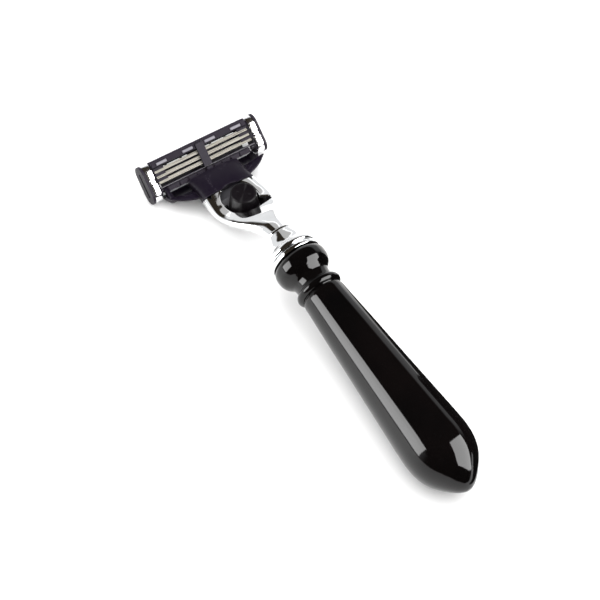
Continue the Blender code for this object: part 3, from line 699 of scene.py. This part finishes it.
def sleeve_rings():
    """Rows of station, half-width, roof and floor, from the casting's mouth to the guard."""
    mouth_lean = tan(atan(MOUTH_LEAN) - radians(DOCK_TILT))
    rows = [(0.3, 9.2, 3.4, -3.4), (3.5, 9.0, 3.05, -3.3), (7.0, 9.05, 2.3, -3.2)]
    rows.append((SLEEVE_FRONT, 9.25, 1.6, -3.1))
    rings = []
    for station, half_width, roof, floor in smooth_through(rows, 8):
        lean = mouth_lean * (SLEEVE_FRONT - station) / SLEEVE_FRONT
        centre, reach = (roof + floor) / 2, (roof - floor) / 2
        section = superellipse(half_width, reach, reach, 3.4, 120)
        rings.append([(x, station - lean * (centre + rise), centre + rise) for x, rise in section])
    return rings


def yoke_rim(x):
    """Rear edge of the crescent: half an ellipse in plan, kept behind the cradle's wall."""
    cradle_wall, centre, depth = 6.4, 8.9, 8.0
    return min(cradle_wall, centre - depth * sqrt(1 - (x / YOKE_HALF_WIDTH) ** 2))


def yoke_rings():
    """A lip with a rolled rear rim, running into a cradle round the pivot."""
    pivot = pivot_in_dock()
    cradle_half, full_arc, tip_arc = 12.0, (192, 284), (172, 182)
    rings = []
    steps = 72
    for k in range(steps + 1):
        x = -YOKE_TIP * cos(pi * k / steps)
        past = sqrt(max(0.0, abs(x) - cradle_half) / (YOKE_TIP - cradle_half))
        start, end = (full + (tip - full) * past for full, tip in zip(full_arc, tip_arc))
        inside = arc(pivot, CRADLE_RADIUS, start, end, 28)
        outside = arc(pivot, CRADLE_RADIUS + CRADLE_WALL, end, start + 4, 28)
        rear = yoke_rim(x)
        lip = [(rear + 0.3, -0.75), (rear + 0.05, -0.55), (rear, -0.3), (rear + 0.12, -0.08)]
        lip += [(rear + 0.4, -0.05), ((rear + inside[0][0]) / 2, -0.45)]
        rings.append([(x, y, z) for y, z in inside + outside + lip])
    return rings


def hull_rings():
    """The crescent's bowl round the pivot, which draws in towards its tips like a boat."""
    pivot = pivot_in_dock()
    full_half, tip, tip_radius = 15.3, 17.1, 2.6
    rings = []
    steps = 60
    for k in range(steps + 1):
        x = -tip * cos(pi * k / steps)
        past = max(0.0, abs(x) - full_half) / (tip - full_half)
        radius = CRADLE_RADIUS + (tip_radius - CRADLE_RADIUS) * past**1.5
        inside = arc(pivot, radius, 188, 284, 28)
        rings.append([(x, y, z) for y, z in inside + arc(pivot, radius + CRADLE_WALL, 284, 188, 28)])
    return rings


def connector_arm(side):
    """An arm from the crescent to the pivot, and its trunnion."""
    pivot = pivot_in_dock()
    outline = arc((7.6, -1.6), 0.8, 80, 290, 24) + arc(pivot, 0.88, -70, 70, 24)
    arm_reach = sorted((side * 15.35, side * 16.45))
    trunnion_reach = sorted((side * 16.1, side * 18.7))
    arm = prism(f"arm_{side}", outline, *arm_reach, DOCK)
    trunnion = prism(f"trunnion_{side}", arc(pivot, 0.8, 0, 354, 60), *trunnion_reach, DOCK)
    return [arm, trunnion]


def build_connector():
    """The sleeve, crescent and arms as one moulding with filled corners, then cut square inside.

    It is also cut level with the table, which it rests on.
    """
    moulding = loft("connector_moulding", sleeve_rings(), DOCK)
    added = [loft("yoke", yoke_rings(), DOCK), loft("hull", hull_rings(), DOCK)]
    added += connector_arm(-1) + connector_arm(1)
    combine(moulding, added, "UNION")
    scallop = loft("scallop", [[(x, y, z) for x, y in well_outline()] for z in (1.6, 9.0)], DOCK)
    combine(moulding, [scallop])
    mould(moulding, MOULDING_VOXEL, 5)
    table_frame = local_frame((0, pivot_world().y, 0), (0, 1, 0))
    table = box("table_plane", (-22, 22), (-9, 9), (-9, 0), table_frame)
    cavity = box("cavity", (-5.75, 5.75), (-3, 12), (-2.45, 1.25), DOCK)
    slot = box("slot", (-3.3, 3.3), (-3, 12), (-6, -2.0), DOCK)
    combine(moulding, [cavity, slot, table])
    resmooth(moulding, radians(40))
    finish_piece(moulding, "connector", "connector_plastic", FINISH["connector"], "connector")


# ---------------------------------------------------------------- cartridge


def end_outline():
    """The rounded end shape in face coordinates."""
    right, left = HALF_HEIGHT - END_RADIUS, END_RADIUS - HALF_HEIGHT
    top, bottom = FACE_TOP - END_RADIUS, BACK + END_RADIUS
    outline = []
    for number, corner in enumerate(((right, bottom), (right, top), (left, top), (left, bottom))):
        start = 90 * number - 90
        outline += arc(corner, END_RADIUS, start, start + 90, 26)
    return outline


def closely_spaced(outline, step):
    """The closed outline with points added so that no two are further apart than the step."""
    spaced = []
    for (a, b), (c, d) in zip(outline, outline[1:] + outline[:1]):
        count = max(1, int(hypot(c - a, d - b) / step))
        spaced += [(a + (c - a) * k / count, b + (d - b) * k / count) for k in range(count)]
    return spaced


def rise_and_fall(value, start, end, ramp):
    """1 between start and end, easing to 0 over the ramp on both sides."""
    inside = min(value - start, end - value)
    share = min(1.0, max(0.0, inside / ramp + 1.0))
    return share * share * (3 - 2 * share)


def clip_fold(v):
    """How far the clip's front dips at this height: a folded-in step, and a slit across it."""
    step = 0.1 * rise_and_fall(v, *CLIP_STEP)
    slit = 0.32 * rise_and_fall(v, 0.62, 0.86, 0.08)
    return step + slit


def clip_inner_edge(v):
    """How far from the middle the clip's inner edge stands: it steps out beside the fold."""
    return 18.0 + 0.3 * rise_and_fall(v, *CLIP_STEP)


def build_clip(side):
    """A bright metal band over one end, with rolled edges and folds across its front."""
    node = "clip_left" if side < 0 else "clip_right"
    outer, inner_behind, thickness, roll, bend = 20.28, 17.7, 0.42, 0.12, 0.04
    front_from, middle_w, half_depth = -0.6, BACK / 2, 3.0
    rings = []
    for v, w in closely_spaced(end_outline(), 0.09):
        front = w > front_from
        inner = clip_inner_edge(v) if front else inner_behind
        fold = clip_fold(v) if front else 0.0
        outside = w - fold
        deep_v = v * (1 - thickness / HALF_HEIGHT)
        deep_w = (w - middle_w) * (1 - thickness / half_depth) + middle_w - fold
        section = [(inner, deep_v, deep_w), (inner, v, outside - roll)]
        section += [(inner + bend, v, outside - bend), (inner + roll, v, outside)]
        section += [(outer - roll, v, outside), (outer - bend, v, outside - bend)]
        section += [(outer, v, outside - roll), (outer, deep_v, deep_w)]
        rings.append([(side * x, y, z) for x, y, z in section])
    count, total = len(rings[0]), len(rings)
    faces = []
    for row in range(total):
        faces += quads_between(row * count, (row + 1) % total * count, count)
    clip = new_piece(f"{node}_band", [point for ring in rings for point in ring], faces, FACE)
    opening = box("opening", sorted((side * 16, side * 22)), (-1.2, 3.0), (BACK - 1, BACK + 1.2), FACE)
    combine(clip, [opening])
    resmooth(clip, radians(35))
    finish_piece(clip, "cartridge", "clip_metal", FINISH["clip"], node)


def build_blade_tabs():
    """Moulded tabs at both ends of the pocket that hold each blade down from above."""
    near, far = 13.7, 17.28
    for row, edge in enumerate(BLADE_ROWS, 1):
        outline = [(edge + 0.72, -0.26), (edge + 0.8, -0.06), (edge + 1.5, -0.06), (edge + 1.58, -0.55)]
        for end, reach in (("left", (-far, -near)), ("right", (near, far))):
            tab = prism(f"blade_tab_{row}_{end}", outline, *reach, FACE)
            bake(soften(tab, 0.08))
            finish_piece(tab, "cartridge", "housing_plastic", FINISH["housing"])


def build_blade(number, edge):
    """A blade with its ground and honed facets at the edge, and rounded rear corners."""
    tilt = radians(BLADE_TILT)
    along = Vector((cos(tilt), -sin(tilt)))
    below = Vector((-sin(tilt), -cos(tilt)))
    start = Vector((edge, 0.0))
    corners = [(0.0, 0.0), (0.14, -0.012), (BLADE_DEPTH - 0.08, 0.0), (BLADE_DEPTH - 0.02, 0.04)]
    corners += [(BLADE_DEPTH, 0.1), (BLADE_DEPTH, BLADE_THICKNESS), (0.45, BLADE_THICKNESS), (0.2, 0.1)]
    outline = [tuple(start + along * run + below * depth) for run, depth in corners]
    blade = prism(f"ground_blade_{number}", outline, -BLADE_HALF_LENGTH, BLADE_HALF_LENGTH, FACE)
    finish_piece(blade, f"blade_{number}", "blade_steel", FINISH["blade"], f"blade_{number}")


def build_welds(number, edge):
    """Spot welds along a blade's rear, where its support is fixed under it."""
    tilt = radians(BLADE_TILT)
    run, rise, radius = 0.86, 0.035, 0.17
    centre_v, centre_w = edge + run * cos(tilt), -run * sin(tilt)
    points, faces = [], []
    sides = 14
    for x in (-12.2, -9.6, -7.0, -4.4, 4.4, 7.0, 9.6, 12.2):
        first = len(points)
        for ring, lift in ((1.0, -0.02), (0.75, rise * 0.7)):
            for k in range(sides):
                angle = 2 * pi * k / sides
                run_off = radius * ring * sin(angle)
                v = centre_v + run_off * cos(tilt) + lift * sin(tilt)
                w = centre_w - run_off * sin(tilt) + lift * cos(tilt)
                points.append((x + radius * ring * cos(angle), v, w))
        top = len(points)
        points.append((x, centre_v + rise * sin(tilt), centre_w + rise * cos(tilt)))
        for k in range(sides):
            after = (k + 1) % sides
            faces.append((first + k, first + after, first + sides + after, first + sides + k))
            faces.append((first + sides + k, first + sides + after, top))
        faces.append(tuple(first + k for k in reversed(range(sides))))
    welds = new_piece(f"spot_welds_{number}", points, faces, FACE)
    finish_piece(welds, f"blade_{number}", "blade_steel", FINISH["blade"])


def build_guard_bead():
    """A glossy rounded bead along the guard's top edge, just in front of the first blade, painted paler
    than the housing as a painted highlight line.
    """
    outline = arc((-2.62, -0.12), 0.24, 0, 345, 24)
    bead = prism("guard_bead", outline, -17.55, 17.55, FACE)
    bake(soften(bead, 0.05))
    finish_piece(bead, "cartridge", "housing_plastic", FINISH["bead"])


def build_rinse_bars():
    """The housing's back grille: bars under the gaps between the blades, and ribs that join them."""
    reach, half_rib = (-17.0, 17.0), 0.35
    low, high = BACK + 0.3, -4.45
    bars = box("rinse_bars", reach, (-0.65, 0.3), (low, high), FACE)
    others = [box("bar", reach, (1.1, 2.05), (low, high), FACE)]
    for x in (-11.0, -5.5, 0.0, 5.5, 11.0):
        across = (x - half_rib, x + half_rib)
        others.append(box("rib", across, (-0.5, 3.4), (low - 0.1, high - 0.15), FACE))
    combine(bars, others, "UNION")
    bake(soften(bars, 0.08))
    resmooth(bars)
    finish_piece(bars, "cartridge", "housing_plastic", FINISH["housing"])


def build_cartridge():
    dress("cartridge_frame", "housing", 0.11)
    dress("guard_fins", "guard", 0.1)
    build_rinse_bars()
    dress("cap", "cap", 0.09)
    dress("lubricating_strip", "strip", 0.06)
    for side in (-1, 1):
        build_clip(side)
    build_blade_tabs()
    build_guard_bead()
    for number, edge in enumerate(BLADE_ROWS, 1):
        build_blade(number, edge)
        build_welds(number, edge)
        dress(f"blade_support_{number}", "support", 0.04)


# ---------------------------------------------------------------- inside


def build_spring(node, body, radius, turns, wire=0.2):
    """A round-wire spring in place of the CAD coil, wound closer towards its ends."""
    gap, closeness = 0.05, 0.35
    to_dock = DOCK.inverted()
    low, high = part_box(node)
    ends = [to_dock @ ((low + high) / 2 + Vector((0, s * (high.y - low.y) / 2, 0))) for s in (-1, 1)]
    centre_z = (ends[0].z + ends[1].z) / 2
    start, end = ends[0].y + wire + gap, ends[1].y - wire - gap
    per_turn, sides = 36, 12
    count = int(turns * per_turn)
    rings = []
    for k in range(count + 1):
        angle = 2 * pi * k / per_turn
        outwards = Vector((cos(angle), 0, sin(angle)))
        share = k / count
        eased = share - sin(2 * pi * share) / (2 * pi) * closeness
        centre = Vector((0, start + (end - start) * eased, centre_z)) + outwards * radius
        ring = []
        for side in range(sides):
            turn = 2 * pi * side / sides
            ring.append(centre + outwards * wire * cos(turn) + Vector((0, wire * sin(turn), 0)))
        rings.append(ring)
    coil = loft(f"{node}_coil", rings, DOCK)
    finish_piece(coil, body, "spring_steel", FINISH["spring"], node)


def build_inside():
    dress("threaded_insert", "brass", 0.1)
    dress("neck_stud", "plated", 0.1)
    dress("docking_boss", "acetal", 0.12)
    dress("plunger", "acetal", 0.15)
    build_spring("button_spring", "handle", 0.85, 4)
    build_spring("plunger_spring", "handle", 0.95, 3)


# ---------------------------------------------------------------- floor, light and camera


def aim_at(place, target):
    return (Vector(target) - Vector(place)).to_track_quat("-Z", "Y")


def brighten_far_floor(look, near=0.4, far=0.9):
    """Lifts the floor to white where the lamps no longer reach, for the camera only."""
    away = look.tree.nodes.new("ShaderNodeVectorMath")
    away.operation = "LENGTH"
    look.tree.links.new(look.place, away.inputs[0])
    reach = look.tree.nodes.new("ShaderNodeMapRange")
    reach.inputs["From Min"].default_value = near
    reach.inputs["From Max"].default_value = far
    look.tree.links.new(away.outputs["Value"], reach.inputs["Value"])
    seen = look.tree.nodes.new("ShaderNodeMath")
    seen.operation = "MULTIPLY"
    look.tree.links.new(reach.outputs["Result"], seen.inputs[0])
    ray = look.tree.nodes.new("ShaderNodeLightPath")
    look.tree.links.new(ray.outputs["Is Camera Ray"], seen.inputs[1])
    look.set("Emission Color", (1.0, 1.0, 1.0, 1.0))
    look.link(seen.outputs["Value"], "Emission Strength")


def build_floor():
    """A pale sweep, big enough to fill the view and the chrome's reflections."""
    size, drop = 3.0, 0.0002
    corners = [(-size, -size, 0), (size, -size, 0), (size, size, 0), (-size, size, 0)]
    mesh = bpy.data.meshes.new("pale_floor")
    mesh.from_pydata(corners, [], [(0, 1, 2, 3)])
    floor = bpy.data.objects.new("pale_floor", mesh)
    bpy.context.scene.collection.objects.link(floor)
    look = Shader("pale_floor_paint", (0.9, 0.9, 0.9), 0.6, specular=0.2)
    look.link(look.spread(look.noise(0.02, 2), 0.55, 0.65), "Roughness")
    brighten_far_floor(look)
    mesh.materials.append(look.material)
    floor.location.z = -drop


def add_softbox(name, place, size, power, roll=0.0):
    """A softbox that is aimed at the razor and seen in its polish, but doesn't light the floor."""
    light = bpy.data.lights.new(name, "AREA")
    light.shape = "RECTANGLE"
    light.size, light.size_y = size
    light.energy = power
    lamp = bpy.data.objects.new(name, light)
    turn = aim_at(place, (0, 0, 0)).to_matrix().to_4x4() @ Matrix.Rotation(radians(roll), 4, "Z")
    lamp.matrix_world = Matrix.Translation(place) @ turn
    lamp.visible_diffuse = False
    lamp.visible_camera = False
    bpy.context.scene.collection.objects.link(lamp)
    return lamp


def shine_on(lamp, *pieces):
    """Lets the lamp reach these pieces only."""
    group = bpy.data.collections.new(f"{lamp.name}_receivers")
    for piece in pieces:
        group.objects.link(bpy.data.objects[piece])
    lamp.light_linking.receiver_collection = group


def build_lights():
    """Two softboxes for the polish, an even light from above for everything matt, and two faint
    softboxes that reach only the chrome or only the blades.
    """
    add_softbox("left_softbox", (-0.55, 0.17, 0.22), (0.34, 0.38), 4.0)
    add_softbox("right_softbox", (0.37, -0.37, 0.36), (0.6, 0.6), 11.0, roll=45.0)
    overhead = add_softbox("overhead", (0.0, 0.0, 1.0), (2.4, 2.4), 55.0)
    overhead.visible_diffuse = True
    overhead.visible_glossy = False
    head = add_softbox("head_softbox", (0.272, 0.405, 0.362), (0.63, 0.34), 0.36)
    shine_on(head, "duck_bill_casting", "collar_turning", "collar_disc")
    blades = add_softbox("blade_softbox", (0.0, 0.02, 0.7), (0.5, 0.4), 0.2)
    shine_on(blades, "ground_blade_1", "ground_blade_2", "ground_blade_3")


def build_flag():
    """A black flag on the floor to the right, which only the polish sees: it keeps that flank dark."""
    near, far, rear, front, low, height = 0.016, 0.13, -0.12, 0.012, 0.0004, 0.05
    points = [(near, rear, low), (far, rear, low), (far, front, low), (near, front, low)]
    points += [(far, rear, height), (far, front, height)]
    mesh = bpy.data.meshes.new("black_flag")
    mesh.from_pydata(points, [], [(0, 1, 2, 3), (1, 4, 5, 2)])
    flag = bpy.data.objects.new("black_flag", mesh)
    mesh.materials.append(Shader("black_flag_cloth", (0.01, 0.01, 0.01), 0.9, specular=0.0).material)
    for ray in ("camera", "diffuse", "shadow", "transmission"):
        setattr(flag, f"visible_{ray}", False)
    bpy.context.scene.collection.objects.link(flag)


def build_world():
    """A dark studio with a pale backdrop beyond the razor. The camera itself sees only the pale."""
    world = bpy.data.worlds.new("studio")
    world.use_nodes = True
    tree = world.node_tree
    background = tree.nodes["Background"]
    split = tree.nodes.new("ShaderNodeSeparateXYZ")
    direction = tree.nodes.new("ShaderNodeTexCoord")
    tree.links.new(direction.outputs["Generated"], split.inputs["Vector"])
    masks = []
    for axis, dark, pale in (("Z", 0.47, 0.39), ("Y", -0.15, 0.25)):
        mask = tree.nodes.new("ShaderNodeMapRange")
        mask.interpolation_type = "SMOOTHSTEP"
        mask.inputs["From Min"].default_value = dark
        mask.inputs["From Max"].default_value = pale
        tree.links.new(split.outputs[axis], mask.inputs["Value"])
        masks.append(mask.outputs["Result"])
    both = tree.nodes.new("ShaderNodeMath")
    both.operation = "MULTIPLY"
    for mask, socket in zip(masks, both.inputs):
        tree.links.new(mask, socket)
    mix = tree.nodes.new("ShaderNodeMix")
    mix.data_type = "RGBA"
    mix.inputs["A"].default_value = (0.03, 0.024, 0.018, 1.0)
    mix.inputs["B"].default_value = (0.95, 0.96, 0.97, 1.0)
    seen = tree.nodes.new("ShaderNodeMath")
    seen.operation = "MAXIMUM"
    tree.links.new(both.outputs["Value"], seen.inputs[0])
    ray = tree.nodes.new("ShaderNodeLightPath")
    tree.links.new(ray.outputs["Is Camera Ray"], seen.inputs[1])
    tree.links.new(seen.outputs["Value"], mix.inputs["Factor"])
    tree.links.new(mix.outputs["Result"], background.inputs["Color"])
    bpy.context.scene.world = world


def build_camera():
    data = bpy.data.cameras.new("photo_view")
    data.lens = CAMERA_LENS
    data.sensor_width = CAMERA_SENSOR
    data.clip_start = 0.01
    camera = bpy.data.objects.new("photo_view", data)
    place, target = Vector(CAMERA_PLACE) * MM, Vector(CAMERA_AIM) * MM
    roll = Matrix.Rotation(radians(CAMERA_ROLL), 4, "Z")
    aim = aim_at(place, target).to_matrix().to_4x4()
    camera.matrix_world = Matrix.Translation(place) @ aim @ roll
    bpy.context.scene.collection.objects.link(camera)
    bpy.context.scene.camera = camera


build_grip()
build_collar_ring()
build_collar()
build_casting()
build_button()
dress("ejector", "ejector", 0.12)
build_connector()
build_cartridge()
build_inside()
build_floor()
build_flag()
build_world()
build_lights()
build_camera()
bpy.context.scene.view_settings.view_transform = "Standard"
